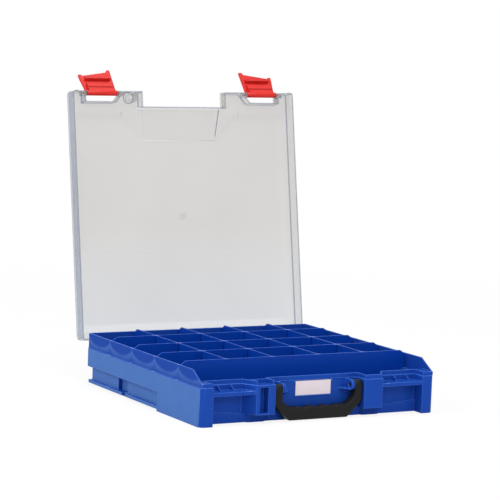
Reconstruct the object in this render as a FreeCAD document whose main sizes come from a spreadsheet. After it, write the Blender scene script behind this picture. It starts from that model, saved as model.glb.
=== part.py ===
import FreeCAD, Part
import Sketcher
import math
import os

# Assortment case: a moulded tray with a clear hinged lid, two snap latches, a carry handle,
# a label card and a grid of slotted dividers.
# Millimetres. X runs to the right, Y to the rear, Z up. The origin is the middle of the underside.
# The lid and the latches are modelled shut and then turned open about their own pins.


class Size:
    """A length that knows its number and the expression that gives it in the spreadsheet."""

    def __init__(self, value, text):
        self.value = value
        self.text = text

    @staticmethod
    def of(other):
        return other if isinstance(other, Size) else Size(float(other), repr(other))

    def join(self, sign, other, value):
        return Size(value, "(%s %s %s)" % (self.text, sign, Size.of(other).text))

    def __add__(self, other):
        return self.join("+", other, self.value + Size.of(other).value)

    def __sub__(self, other):
        return self.join("-", other, self.value - Size.of(other).value)

    def __mul__(self, other):
        return self.join("*", other, self.value * Size.of(other).value)

    def __truediv__(self, other):
        return self.join("/", other, self.value / Size.of(other).value)

    def __neg__(self):
        return Size(-self.value, "(-1 * %s)" % self.text)

    def __rmul__(self, other):
        return Size.of(other) * self


doc = FreeCAD.newDocument("AssortmentCase")
sheet = doc.addObject("Spreadsheet::Sheet", "Sizes")
ROW = [0]


def size(name, number):
    """One driving dimension: a row of the sheet with its alias."""
    ROW[0] += 1
    sheet.set("A%d" % ROW[0], name)
    sheet.set("B%d" % ROW[0], str(number))
    sheet.setAlias("B%d" % ROW[0], name)
    return Size(float(number), "Sizes.%s" % name)


# Fits
running_fit = size("running_fit", 0.05)
loose_fit = size("loose_fit", 0.3)
lid_gap = size("lid_gap", 0.5)
overrun = size("overrun", 5)

# Case body
width = size("width", 340)
depth = size("depth", 330)
skirt_top = size("skirt_top", 48.5)
wall_top = size("wall_top", 68)
lip_top = size("lip_top", 54)
floor_thick = size("floor_thick", 2.2)
wall = size("wall", 2)
corner_radius = size("corner_radius", 8.5)
wall_inset = size("wall_inset", 2.5)
lip_inset = size("lip_inset", 1.2)
lip_thick = size("lip_thick", 1.8)
wall_slope_start = size("wall_slope_start", 28)
wall_slope_end = size("wall_slope_end", 3)

# Hanging rails along the sides
rail_depth = size("rail_depth", 7)
rail_top = size("rail_top", 24)
deep_skirt = size("deep_skirt", 117)
rail_lip_low = size("rail_lip_low", 2)
rail_lip_tall = size("rail_lip_tall", 4.4)
rail_lip_inset = size("rail_lip_inset", 1.5)
rail_pad_thick = size("rail_pad_thick", 1.5)
rail_pad_edge = size("rail_pad_edge", 2)
rail_rear_gap = size("rail_rear_gap", 10)
rail_lip_tail = size("rail_lip_tail", 3)
detent_inset = size("detent_inset", 105)
detent_wide = size("detent_wide", 27)
detent_deep = size("detent_deep", 4)
detent_notch = size("detent_notch", 12.5)
detent_notch_lead = size("detent_notch_lead", 4)

# Front posts and bays
corner_post = size("corner_post", 18.5)
post_wide = size("post_wide", 27)
bay_slant = size("bay_slant", 10.5)
bay_depth = size("bay_depth", 20)
plinth_recess = size("plinth_recess", 17.5)
plinth_corner = size("plinth_corner", 16)
plinth_step = size("plinth_step", 3)
plinth_step_inset = size("plinth_step_inset", 4)
post_bottom = size("post_bottom", 11)
slot_wide = size("slot_wide", 11.7)
slot_low = size("slot_low", 13)
slot_high = size("slot_high", 45.5)
slot_deep = size("slot_deep", 12)
slot_edge = size("slot_edge", 5)
eye_pocket_wide = size("eye_pocket_wide", 21)
eye_pocket_deep = size("eye_pocket_deep", 14)

# Latch ledge
ledge_low = size("ledge_low", 36.8)
ledge_high = size("ledge_high", 41.6)
ledge_setback = size("ledge_setback", 2)
gusset_thick = size("gusset_thick", 1.8)

# Carry handle and its ears
handle_wide = size("handle_wide", 126)
handle_arm = size("handle_arm", 10.3)
handle_side_gap = size("handle_side_gap", 1.5)
handle_top_round = size("handle_top_round", 6)
handle_thick = size("handle_thick", 13)
handle_bottom = size("handle_bottom", 1.2)
handle_pivot_y = size("handle_pivot_y", 9.5)
handle_pivot_z = size("handle_pivot_z", 41.5)
grip_tall = size("grip_tall", 16.5)
handle_bend = size("handle_bend", 21.5)
handle_bend_run = size("handle_bend_run", 21)
handle_inner_run = size("handle_inner_run", 10.5)
handle_round = size("handle_round", 3)
finger_radius = size("finger_radius", 14)
finger_deep = size("finger_deep", 1.6)
finger_pitch = size("finger_pitch", 20.5)
ear_thick = size("ear_thick", 4.5)
ear_round = size("ear_round", 6.5)
ear_drop = size("ear_drop", 11)
ear_fin_long = size("ear_fin_long", 11)
ear_fin_thick = size("ear_fin_thick", 1.6)
trunnion_radius = size("trunnion_radius", 3)

# Label
label_wide = size("label_wide", 51.5)
label_tall = size("label_tall", 18.5)
label_thick = size("label_thick", 0.8)
label_low = size("label_low", 29.2)
label_lug = size("label_lug", 2.6)
label_lug_thick = size("label_lug_thick", 1.6)

# Dividers
divider_thick = size("divider_thick", 1.6)
divider_top = size("divider_top", 72)
divider_half = size("divider_half", 38)
divider_chamfer = size("divider_chamfer", 7.5)
divider_end_drop = size("divider_end_drop", 1)
front_row = size("front_row", 65.9)
guide_rib = size("guide_rib", 1.2)
knot_long = size("knot_long", 11)
knot_thick = size("knot_thick", 4.4)

# Lid
lid_overhang = size("lid_overhang", 0.9)
lid_front_overhang = size("lid_front_overhang", 2)
lid_rear_overhang = size("lid_rear_overhang", 6)
lid_wall = size("lid_wall", 1.8)
lid_deep = size("lid_deep", 20.6)
lid_radius = size("lid_radius", 6)
lid_panel = size("lid_panel", 1.2)
panel_rise = size("panel_rise", 5.4)
panel_run = size("panel_run", 9)
panel_side = size("panel_side", 6)
panel_rear = size("panel_rear", 10.5)
panel_front = size("panel_front", 28)
panel_step = size("panel_step", 29)
panel_middle_wide = size("panel_middle_wide", 106.6)
lid_front_rim = size("lid_front_rim", 54.7)
lid_notch_gap = size("lid_notch_gap", 2.6)
lid_notch_flare = size("lid_notch_flare", 1.2)
latch_notch_deep = size("latch_notch_deep", 14.2)
eye_radius = size("eye_radius", 4)
eye_collar = size("eye_collar", 3.6)
eye_rise = size("eye_rise", 1.2)
eye_inset = size("eye_inset", 14.5)
eye_setback = size("eye_setback", 8)

# Latches
latch_outer_gap = size("latch_outer_gap", 4.4)
latch_inner_gap = size("latch_inner_gap", 9.7)
latch_axis_y = size("latch_axis_y", 1)
latch_axis_z = size("latch_axis_z", 58.5)
latch_hub = size("latch_hub", 3.8)
latch_pin = size("latch_pin", 2)
latch_pin_long = size("latch_pin_long", 5)
latch_plate = size("latch_plate", 3)
latch_long = size("latch_long", 37.4)
latch_short = size("latch_short", 29.4)
latch_horn = size("latch_horn", 2.6)
latch_horn_wide = size("latch_horn_wide", 4.5)
latch_flare = size("latch_flare", 3)
latch_flare_drop = size("latch_flare_drop", 9)
latch_line = size("latch_line", 1.2)
latch_line_drop = size("latch_line_drop", 8.5)
latch_block = size("latch_block", 3.4)
latch_hook = size("latch_hook", 4.6)
latch_hook_tall = size("latch_hook_tall", 5)
latch_groove_end = size("latch_groove_end", 4)
boss_wide = size("boss_wide", 8.5)
boss_half = size("boss_half", 4)

# Lid hinge
hinge_setback = size("hinge_setback", 10)
hinge_z = size("hinge_z", 51.5)
hinge_round = size("hinge_round", 5)
hinge_pin_radius = size("hinge_pin_radius", 2)
hinge_inset = size("hinge_inset", 60)
hinge_knuckle = size("hinge_knuckle", 16)
hinge_lug = size("hinge_lug", 8)
hinge_foot = size("hinge_foot", 14)
hinge_arm_top = size("hinge_arm_top", 16)

# Rows of cross dividers, and columns between the lane dividers, as counts
ROWS = 4
COLUMNS = 5

COLUMN_SHARES = (-1.5, -0.5, 0.5, 1.5)

# Places of the two gussets along the back of a latch bay
GUSSET_SHARES = (0.293, 0.667)

# Sideways move of a corner, per unit of inset, where an outline turns by an eighth of a circle
DIAGONAL_SHARE = math.tan(math.pi / 8)

# Open angles, in degrees
LID_OPEN = 99.5
LATCH_OPEN = 121.0

doc.recompute()

# Planes of the case
zero = width * 0
left = -width / 2
right = width / 2
front = -depth / 2
rear = depth / 2
ledge_bottom = skirt_top - wall
tray_side = width / 2 - rail_depth
tray_rear = rear - rail_depth
bay_wall = front + bay_depth
front_inner = lip_inset + lip_thick
handle_bay = handle_wide + handle_side_gap * 2
bay_front = width / 2 - handle_bay / 2 - post_wide
bay_back = bay_front - bay_slant
latch_edge = corner_post + latch_outer_gap
latch_wide = bay_front - latch_edge - latch_inner_gap
latch_notch_outer = corner_post + lid_notch_gap
latch_notch_inner = bay_back - lid_notch_gap
latch_notch_slant = bay_slant + lid_notch_flare
eye_place = handle_bay / 2 + eye_inset
hinge_place = width / 2 - hinge_inset
row_pitch = (depth - wall_inset - front_row) / ROWS
column_pitch = (width - wall_inset * 2) / COLUMNS
panel_low = skirt_top + lid_gap
panel_high = panel_low + lid_deep


class Piece:
    """One body built from sketches; each step must change its volume the right way."""

    AXES = {"top": "XY_Plane", "front": "XZ_Plane", "side": "YZ_Plane"}

    def __init__(self, label):
        self.body = doc.addObject("PartDesign::Body", label)
        self.body.Label = label
        self.volume = 0.0

    def sketch(self, name, plane, loops, place):
        made = self.body.newObject("Sketcher::SketchObject", name)
        role = Piece.AXES[plane]
        base = [f for f in self.body.Origin.OriginFeatures if f.Role == role][0]
        made.AttachmentSupport = [(base, "")]
        made.MapMode = "FlatFace"
        lift = -place if plane == "front" else place
        made.setExpression("AttachmentOffset.Base.z", lift.text)
        for loop in loops:
            if len(loop) == 3 and isinstance(loop[0], Size):
                self.circle(made, *loop)
            else:
                self.polygon(made, loop)
        return made

    @staticmethod
    def fix(made, kind, first, spot, second, corner, length):
        number = made.addConstraint(Sketcher.Constraint(kind, first, spot, second, corner, length.value))
        made.setExpression("Constraints[%d]" % number, length.text)

    def polygon(self, made, corners):
        start = made.GeometryCount
        count = len(corners)
        flat = [FreeCAD.Vector(x.value, y.value, 0) for x, y in corners]
        for i in range(count):
            made.addGeometry(Part.LineSegment(flat[i], flat[(i + 1) % count]), False)
        for i in range(count):
            after = start + (i + 1) % count
            made.addConstraint(Sketcher.Constraint("Coincident", start + i, 2, after, 1))
        for i, (x, y) in enumerate(corners):
            self.fix(made, "DistanceX", -1, 1, start + i, 1, x)
            self.fix(made, "DistanceY", -1, 1, start + i, 1, y)

    def circle(self, made, x, y, radius):
        start = made.GeometryCount
        middle = FreeCAD.Vector(x.value, y.value, 0)
        made.addGeometry(Part.Circle(middle, FreeCAD.Vector(0, 0, 1), radius.value), False)
        number = made.addConstraint(Sketcher.Constraint("Radius", start, radius.value))
        made.setExpression("Constraints[%d]" % number, radius.text)
        self.fix(made, "DistanceX", -1, 1, start, 3, x)
        self.fix(made, "DistanceY", -1, 1, start, 3, y)

    def pad(self, name, plane, loops, low, high):
        return self.feature("PartDesign::Pad", name, plane, loops, low, high, grows=True)

    def cut(self, name, plane, loops, low, high):
        return self.feature("PartDesign::Pocket", name, plane, loops, low, high, grows=False)

    def feature(self, kind, name, plane, loops, low, high, grows):
        from_low = grows != (plane == "front")
        made = self.sketch(name + "_sketch", plane, loops, low if from_low else high)
        feature = self.body.newObject(kind, name)
        feature.Profile = made
        feature.setExpression("Length", (high - low).text)
        self.settle(feature, grows)
        return feature

    def loft(self, name, low_loop, high_loop, low, high, grows):
        """A straight blend between two level outlines."""
        first = self.sketch(name + "_low", "top", [low_loop], low)
        last = self.sketch(name + "_high", "top", [high_loop], high)
        kind = "PartDesign::AdditiveLoft" if grows else "PartDesign::SubtractiveLoft"
        feature = self.body.newObject(kind, name)
        feature.Profile = first
        feature.Sections = [last]
        feature.Ruled = True
        self.settle(feature, grows)
        return feature

    def repeat(self, name, original, axis, length, count):
        """Copies of a pad in a row, spread evenly over the length."""
        feature = self.body.newObject("PartDesign::LinearPattern", name)
        feature.Originals = [original]
        feature.Direction = (original.Profile[0], [axis])
        feature.setExpression("Length", length.text)
        feature.Occurrences = count
        self.body.Tip = feature
        self.settle(feature, True)
        return feature

    def settle(self, feature, grows):
        doc.recompute()
        volume = feature.Shape.Volume
        change = volume - self.volume
        if not feature.isValid() or (change > 0) != grows or abs(change) < 1e-6:
            raise RuntimeError("%s did not change the solid as it should" % feature.Name)
        self.volume = volume

    def round(self, name, radius, test):
        """Round every edge of the solid that the test picks."""
        tip = self.body.Tip
        picked = ["Edge%d" % (i + 1) for i, edge in enumerate(tip.Shape.Edges) if test(edge)]
        if not picked:
            raise RuntimeError("%s found no edge" % name)
        feature = self.body.newObject("PartDesign::Fillet", name)
        feature.Base = (tip, picked)
        feature.setExpression("Radius", radius.text)
        doc.recompute()
        if not feature.isValid():
            raise RuntimeError("%s failed" % name)
        self.volume = feature.Shape.Volume
        return feature


def box(x0, y0, x1, y1):
    return [(x0, y0), (x1, y0), (x1, y1), (x0, y1)]


def flip(corners):
    """The same outline on the other side of the middle."""
    return [(-x, y) for x, y in reversed(corners)]


def near(value, length):
    return abs(value - length.value) < 1e-4


def upright_edge(edge, x, y):
    """True for a vertical edge that stands at plus or minus x and at y."""
    first, last = edge.Vertexes[0].Point, edge.Vertexes[-1].Point
    standing = abs(first.x - last.x) < 1e-4 and abs(first.y - last.y) < 1e-4
    return standing and near(abs(first.x), x) and near(first.y, y)


def slant_shift(inset):
    """How far the slanted side of a latch bay moves sideways when it is offset by inset."""
    slope = (bay_front - bay_back) / bay_depth
    length = Size(math.sqrt(1 + slope.value ** 2), "sqrt(1 + %s ^ 2)" % slope.text)
    return inset * (length - slope)


def right_post(inset):
    """The plan of the right post, from the handle bay round to the latch bay."""
    return [
        (handle_bay / 2 + inset, bay_wall + inset),
        (handle_bay / 2 + inset, front + inset),
        (right - bay_front - slant_shift(inset), front + inset),
        (right - bay_back - slant_shift(inset), bay_wall + inset),
    ]


def corner_plan(inset):
    """The plan of the right corner post, from the latch bay to the side."""
    return [
        (right - corner_post + inset, bay_wall + inset),
        (right - corner_post + inset, front + inset),
        (right - inset, front + inset),
    ]


def build_case_base():
    base = Piece("case_base")
    back_line = front + wall_slope_start

    # Solid forms first: plinth, front posts with the bays between them, skirt
    tray_plan = box(-tray_side, bay_wall, tray_side, tray_rear)
    base.pad("tray", "top", [tray_plan], zero, skirt_top)
    plinth_half = [(tray_side, zero), (tray_side, plinth_corner), (right - corner_post, plinth_corner),
                   (right - bay_back, post_bottom)]
    base.pad("plinth", "front", [plinth_half + flip(plinth_half)], front + plinth_recess, bay_wall + wall)
    post_in = handle_bay / 2 + plinth_step_inset
    post_out = right - bay_back - plinth_step_inset
    step_plan = [(post_in, front + plinth_recess + wall), (post_in, front + plinth_recess),
                 (post_in + plinth_step_inset, front + plinth_recess - plinth_step),
                 (post_out - plinth_step_inset, front + plinth_recess - plinth_step),
                 (post_out, front + plinth_recess), (post_out, front + plinth_recess + wall)]
    base.pad("plinth_steps", "top", [step_plan, flip(step_plan)], zero, post_bottom + wall)
    posts = right_post(zero) + corner_plan(zero) + [(right, back_line)]
    posts = posts + flip(posts)
    base.pad("front_posts", "top", [posts], post_bottom, skirt_top)
    foot = corner_plan(zero) + [(right, back_line), (right - corner_post, back_line)]
    base.pad("corner_feet", "top", [foot, flip(foot)], zero, skirt_top)
    base.pad("skirt", "top", [box(left, bay_wall, right, rear)], rail_top, skirt_top)
    deep = box(tray_side - wall, bay_wall, right, front + deep_skirt)
    base.pad("deep_skirt_sides", "top", [deep, flip(deep)], zero, skirt_top)
    base.round("outer_corners", corner_radius,
               lambda e: upright_edge(e, right, front) or upright_edge(e, right, rear))

    # The lip that the lid closes over, and the tall side and rear walls
    lip = right_post(lip_inset) + corner_plan(lip_inset)
    lip = lip[:-1] + [(right - wall_inset, front + lip_inset), (right - wall_inset, back_line)]
    pocket_left = -eye_place - eye_pocket_wide / 2
    pocket_right = -eye_place + eye_pocket_wide / 2
    pocket_back = front + eye_pocket_deep
    left_post = flip(right_post(lip_inset))
    eye_pocket = [(pocket_left, front + lip_inset), (pocket_left, pocket_back), (pocket_right, pocket_back),
                  (pocket_right, front + lip_inset)]
    lip_left = [(left + wall_inset, back_line), (left + wall_inset, front + lip_inset),
                (left + corner_post - lip_inset, front + lip_inset),
                (left + corner_post - lip_inset, bay_wall + lip_inset)]
    lip_left = lip_left + left_post[:2] + eye_pocket + left_post[2:]
    base.pad("front_lip", "top", [lip + lip_left], skirt_top, lip_top)
    side = [(front + wall_slope_end, skirt_top), (rear - wall_inset, skirt_top),
            (rear - wall_inset, wall_top), (back_line, wall_top), (front + wall_slope_end, lip_top)]
    base.pad("left_wall", "side", [side], left + wall_inset, left + wall_inset + wall)
    base.pad("right_wall", "side", [side], right - wall_inset - wall, right - wall_inset)
    rear_plan = box(left + wall_inset, rear - wall_inset - wall, right - wall_inset, rear - wall_inset)
    base.pad("rear_wall", "top", [rear_plan], skirt_top, wall_top)

    # The hollow of the tray, its upper step, and the hollow right post
    inner_front = bay_wall + front_inner
    hollow = box(-tray_side + wall, inner_front, tray_side - wall, tray_rear - wall)
    base.cut("tray_hollow", "top", [hollow], floor_thick, wall_top)
    upper = box(left + wall_inset + wall, inner_front, right - wall_inset - wall, rear - wall_inset - wall)
    base.cut("upper_hollow", "top", [upper], skirt_top, wall_top)
    pocket = right_post(front_inner)
    pocket = [(pocket[0][0], inner_front + wall)] + pocket[1:] + [(pocket[3][0], inner_front + wall)]
    base.cut("right_post_hollow", "top", [pocket], post_bottom + wall * 2, lip_top)
    behind = pocket_back + lip_thick
    run = (bay_wall + front_inner - behind) * (bay_slant / bay_depth)
    pocket = [(-pocket[0][0], inner_front + wall), (-pocket[0][0], behind), (-pocket[4][0] + run, behind),
              (-pocket[4][0], bay_wall + front_inner), (-pocket[4][0], inner_front + wall)]
    base.cut("left_post_hollow", "top", [pocket], post_bottom + wall * 2, lip_top)

    # Undersides of the skirt and of the corner posts are open
    gap_in = tray_side
    gap_out = right - wall
    side_gap = [(gap_in, front + deep_skirt), (gap_out, front + deep_skirt), (gap_out, rear - corner_radius),
                (gap_in, rear - corner_radius + rail_depth - wall)]
    deep_gap = box(gap_in, bay_wall + wall, gap_out, front + deep_skirt - wall)
    rear_gap = box(-gap_in, tray_rear, gap_in, rear - wall)
    base.cut("skirt_gaps", "top", [side_gap, flip(side_gap), deep_gap, flip(deep_gap), rear_gap],
             zero - overrun, ledge_bottom)
    post_gap = [(right - corner_post + wall, front + wall), (right - corner_radius, front + wall),
                (gap_out, front + corner_radius), (gap_out, bay_wall), (right - corner_post + wall, bay_wall)]
    base.cut("corner_gaps", "top", [post_gap, flip(post_gap)], zero - overrun, ledge_bottom)

    # Hanging rails: a lip at the foot of each groove, and two pads with a detent pocket between
    rail_front = front + deep_skirt - wall
    rail_rear = rear - rail_rear_gap
    detent_place = rear - detent_inset
    lip_plan = box(tray_side - wall / 2, rail_front, right - rail_lip_inset, rail_rear + rail_lip_tail)
    base.pad("rail_lips", "top", [lip_plan, flip(lip_plan)], rail_lip_low, rail_lip_low + rail_lip_tall)
    detent_low = detent_place - detent_wide / 2
    detent_high = detent_place + detent_wide / 2
    pads = []
    for low, high in ((rail_front, detent_low), (detent_high, rail_rear)):
        plan = box(tray_side - wall / 2, low, tray_side + rail_pad_thick, high)
        pads += [plan, flip(plan)]
    base.pad("rail_pads", "top", pads, rail_lip_low, rail_top - rail_pad_edge)
    pocket_back = tray_side - detent_deep
    backing = box(pocket_back - wall, detent_low - wall, tray_side - wall / 2, detent_high + wall)
    base.pad("detent_backings", "top", [backing, flip(backing)], floor_thick - wall / 2, rail_top)
    pocket = box(pocket_back, detent_low, tray_side + rail_pad_thick, detent_high)
    base.cut("detents", "top", [pocket, flip(pocket)], rail_lip_low + rail_lip_tall, rail_top - rail_pad_edge)
    notch_low = detent_low - detent_notch_lead
    notch = box(tray_side + rail_pad_thick, notch_low, right, notch_low + detent_notch)
    base.cut("rail_notches", "top", [notch, flip(notch)],
             rail_lip_low - wall, rail_lip_low + rail_lip_tall + wall)

    # Guide ribs that hold the ends of the dividers
    rib_in = tray_side - wall - guide_rib
    near_gap = divider_thick / 2 + loose_fit
    row_4 = rear - wall_inset - row_pitch * ROWS
    ribs = []
    for low, high in ((-near_gap - guide_rib, -near_gap), (near_gap, near_gap + guide_rib)):
        rib = box(rib_in, row_4 + low, tray_side - wall / 2, row_4 + high)
        ribs += [rib, flip(rib)]
    side_ribs = base.pad("side_ribs", "top", ribs, floor_thick - wall / 2, skirt_top)
    base.repeat("side_rib_rows", side_ribs, "V_Axis", row_pitch * (ROWS - 1), ROWS)
    lane_1 = column_pitch * COLUMN_SHARES[0]
    ribs = []
    for low, high in ((-near_gap - guide_rib, -near_gap), (near_gap, near_gap + guide_rib)):
        ribs.append(box(lane_1 + low, tray_rear - wall - guide_rib, lane_1 + high, tray_rear - wall / 2))
    rear_ribs = base.pad("rear_ribs", "top", ribs, floor_thick - wall / 2, skirt_top)
    base.repeat("rear_rib_lanes", rear_ribs, "H_Axis", column_pitch * (COLUMNS - 2), COLUMNS - 1)

    # Latch ledges and their gussets
    slope = (bay_front - bay_back) / bay_depth
    ledge_tip = left + bay_front - slope * ledge_setback
    ledge = [(left + corner_post - wall, front + ledge_setback), (ledge_tip + wall, front + ledge_setback),
             (left + bay_back + wall, bay_wall), (left + bay_back + wall, bay_wall + wall),
             (left + corner_post - wall, bay_wall + wall)]
    base.pad("latch_ledges", "top", [ledge, flip(ledge)], ledge_low, ledge_high)
    web = [(front + ledge_setback + gusset_thick, ledge_high - wall), (bay_wall + wall, ledge_high - wall),
           (bay_wall + wall, skirt_top), (bay_wall - wall, skirt_top)]
    for side_sign, word in ((1, "left"), (-1, "right")):
        for share, place in zip(GUSSET_SHARES, ("outer", "inner")):
            middle = (left + corner_post + (bay_back - corner_post) * share) * side_sign
            base.pad("gusset_%s_%s" % (word, place), "side", [web],
                     middle - gusset_thick / 2, middle + gusset_thick / 2)

    # Seal slot in the left post
    slot_left = left + bay_front + slot_edge
    base.cut("seal_slot", "front", [box(slot_left, slot_low, slot_left + slot_wide, slot_high)],
             front - overrun, front + slot_deep)

    # Handle ears with their bores
    ear_out = handle_wide / 2 - handle_arm - loose_fit
    pivot_y = front + handle_pivot_y
    ear = [(pivot_y, handle_pivot_z + ear_round), (pivot_y, handle_pivot_z - ear_round),
           (bay_wall + wall, handle_pivot_z - ear_round - ear_drop / 2),
           (bay_wall + wall, handle_pivot_z + ear_round)]
    for word, low, high in (("left", -ear_out, -ear_out + ear_thick),
                            ("right", ear_out - ear_thick, ear_out)):
        base.pad("ear_%s" % word, "side", [ear], low, high)
        base.pad("ear_nose_%s" % word, "side", [(pivot_y, handle_pivot_z, ear_round)], low, high)
    bore = (pivot_y, handle_pivot_z, trunnion_radius + running_fit)
    for word, low, high in (("left", -ear_out - loose_fit, -ear_out + ear_thick + loose_fit),
                            ("right", ear_out - ear_thick - loose_fit, ear_out + loose_fit)):
        base.cut("ear_bore_%s" % word, "side", [bore], low, high)

    ear_in = ear_out - ear_thick
    fin = [(ear_in + wall / 2, pivot_y - ear_round / 2), (ear_in + wall / 2, bay_wall + wall),
           (ear_in - ear_fin_long, bay_wall + wall), (ear_in - ear_fin_long, bay_wall - wall / 2)]
    fin_low = handle_pivot_z - trunnion_radius - wall - ear_fin_thick
    base.pad("ear_fins", "top", [fin, flip(fin)], fin_low, fin_low + ear_fin_thick)

    # Lugs that hold the label card
    lug_x = label_wide / 2 + loose_fit
    card_top = label_low + label_tall
    lug = box(lug_x, card_top - label_lug, lug_x + label_lug, card_top)
    base.pad("label_lugs", "front", [lug, flip(lug)], bay_wall - label_lug_thick, bay_wall + wall)
    shelf = box(-label_wide / 2, label_low - label_lug_thick, label_wide / 2, label_low)
    base.pad("label_shelf", "front", [shelf], bay_wall - label_lug_thick, bay_wall + wall)

    # Hinge lugs on the rear skirt
    axis_y = rear + hinge_setback
    lug_side = [(rear - wall / 2, skirt_top), (axis_y - hinge_round, hinge_z + hinge_round),
                (axis_y, hinge_z + hinge_round), (axis_y, hinge_z - hinge_round),
                (rear - wall / 2, hinge_z - hinge_round - hinge_foot)]
    for place in (-hinge_place, hinge_place):
        for step in (-1, 1):
            middle = place + (hinge_knuckle / 2 + loose_fit + hinge_lug / 2) * step
            low, high = middle - hinge_lug / 2, middle + hinge_lug / 2
            tag = "%s_%s" % ("left" if place.value < 0 else "right", "a" if step < 0 else "b")
            base.pad("hinge_lug_%s" % tag, "side", [lug_side], low, high)
            base.pad("hinge_eye_%s" % tag, "side", [(axis_y, hinge_z, hinge_round)], low, high)
            base.cut("hinge_bore_%s" % tag, "side", [(axis_y, hinge_z, hinge_pin_radius + running_fit)],
                     low - loose_fit / 2, high + loose_fit / 2)
    return base


def build_lid():
    lid = Piece("lid")
    lid_left = left - lid_overhang
    lid_right = right + lid_overhang
    lid_front = front - lid_front_overhang
    lid_rear = rear + lid_rear_overhang

    def plan(inset):
        """The lid's outline with its latch notches and the handle notch, offset inwards."""
        outer = right - latch_notch_outer
        inner = right - latch_notch_inner
        half = [
            (handle_bay / 2 - lid_overhang + inset, bay_wall - lid_overhang + inset),
            (handle_bay / 2 - lid_overhang + inset, lid_front + inset),
            (inner - latch_notch_slant - inset / 2, lid_front + inset),
            (inner - inset / 2, lid_front + latch_notch_deep + inset),
            (outer + inset, lid_front + latch_notch_deep + inset),
            (outer + inset, lid_front + inset),
            (lid_right - inset, lid_front + inset),
            (lid_right - inset, lid_rear - inset),
        ]
        return half + flip(half)

    lid.pad("shell", "top", [plan(zero)], panel_low, panel_high)
    lid.round("shell_corners", lid_radius, lambda e: upright_edge(e, lid_right, lid_front)
              or upright_edge(e, lid_right, lid_rear))

    def raised(inset):
        """The raised panel, set back in the middle behind the handle notch."""
        half = [
            (panel_middle_wide / 2 + inset * DIAGONAL_SHARE, lid_front + panel_front + panel_step + inset),
            (panel_middle_wide / 2 + panel_step + inset * DIAGONAL_SHARE, lid_front + panel_front + inset),
            (lid_right - panel_side - inset, lid_front + panel_front + inset),
            (lid_right - panel_side - inset, lid_rear - panel_rear - inset),
        ]
        return half + flip(half)

    inner = lid_panel / 2
    lid.loft("raised_panel", raised(zero), raised(panel_run), panel_high, panel_high + panel_rise, True)

    # A ramp leads from the handle notch up to the raised panel
    ramp_half = panel_middle_wide / 2 + panel_step + panel_run
    ramp_foot = lid_front + panel_front
    ramp_head = ramp_foot + panel_step + panel_run
    ramp = [(ramp_foot, panel_high - inner), (ramp_head, panel_high - inner),
            (ramp_head, panel_high + panel_rise), (ramp_foot, panel_high)]
    lid.pad("ramp", "side", [ramp], -ramp_half, ramp_half)
    lid.cut("shell_hollow", "top", [plan(lid_wall)], panel_low, panel_high - lid_panel)
    lid.loft("panel_hollow", raised(inner), raised(panel_run + inner), panel_high - lid_panel,
             panel_high + panel_rise - lid_panel, False)
    ramp_under = [(ramp_foot, panel_high - lid_panel), (ramp_head, panel_high - lid_panel),
                  (ramp_head, panel_high + panel_rise - lid_panel)]
    lid.cut("ramp_hollow", "side", [ramp_under], -ramp_half, ramp_half)
    rim = box(lid_left + lid_wall + lid_radius, lid_front - overrun,
              lid_right - lid_wall - lid_radius, bay_wall + front_inner + lid_wall)
    lid.cut("front_rim", "top", [rim], panel_low, lid_front_rim)

    # Bosses for the latch pins, with their bores
    axis_y = front + latch_axis_y
    for word, sign in (("left", 1), ("right", -1)):
        for place, start, step in (("outer", left + latch_edge - loose_fit, -1),
                                   ("inner", left + latch_edge + latch_wide + loose_fit, 1)):
            ends = sorted((start * sign, (start + boss_wide * step) * sign), key=lambda s: s.value)
            boss = box(axis_y - latch_axis_y - boss_half / 2, lid_front_rim, axis_y + boss_half,
                       latch_axis_z + boss_half)
            lid.pad("boss_%s_%s" % (word, place), "side", [boss], ends[0], ends[1])
            lid.cut("boss_bore_%s_%s" % (word, place), "side",
                    [(axis_y, latch_axis_z, latch_pin + running_fit)], ends[0], ends[1])

    # Seal eye on the left middle tab
    eye_y = lid_front + eye_setback
    eye = (-eye_place, eye_y, eye_radius + eye_collar)
    lid.pad("eye_collar", "top", [eye], lid_front_rim, panel_high + eye_rise)
    lid.cut("eye_bore", "top", [(-eye_place, eye_y, eye_radius)],
            lid_front_rim - overrun, panel_high + overrun)

    # Hinge: room for the case's lugs, then the lid's own knuckles
    pin_y = rear + hinge_setback
    zone = hinge_knuckle / 2 + loose_fit * 2 + hinge_lug
    room_top = hinge_z + hinge_round + lid_gap * 2
    rooms = []
    for place in (-hinge_place, hinge_place):
        rooms.append(box(place - zone, panel_low - overrun, place + zone, room_top))
    lid.cut("lug_rooms", "front", rooms, lid_rear - lid_wall - overrun, lid_rear + overrun)
    for word, place in (("left", -hinge_place), ("right", hinge_place)):
        low, high = place - hinge_knuckle / 2, place + hinge_knuckle / 2
        arm = [(pin_y + hinge_round, hinge_z), (pin_y + hinge_round / 2, hinge_z + hinge_arm_top),
               (lid_rear - lid_wall / 2, hinge_z + hinge_arm_top),
               (lid_rear - lid_wall / 2, hinge_z + hinge_round), (pin_y - hinge_round, hinge_z)]
        lid.pad("knuckle_arm_%s" % word, "side", [arm], low, high)
        lid.pad("knuckle_%s" % word, "side", [(pin_y, hinge_z, hinge_round)], low, high)
        lid.cut("knuckle_bore_%s" % word, "side", [(pin_y, hinge_z, hinge_pin_radius + running_fit)],
                low - loose_fit, high + loose_fit)
    return lid


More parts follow.
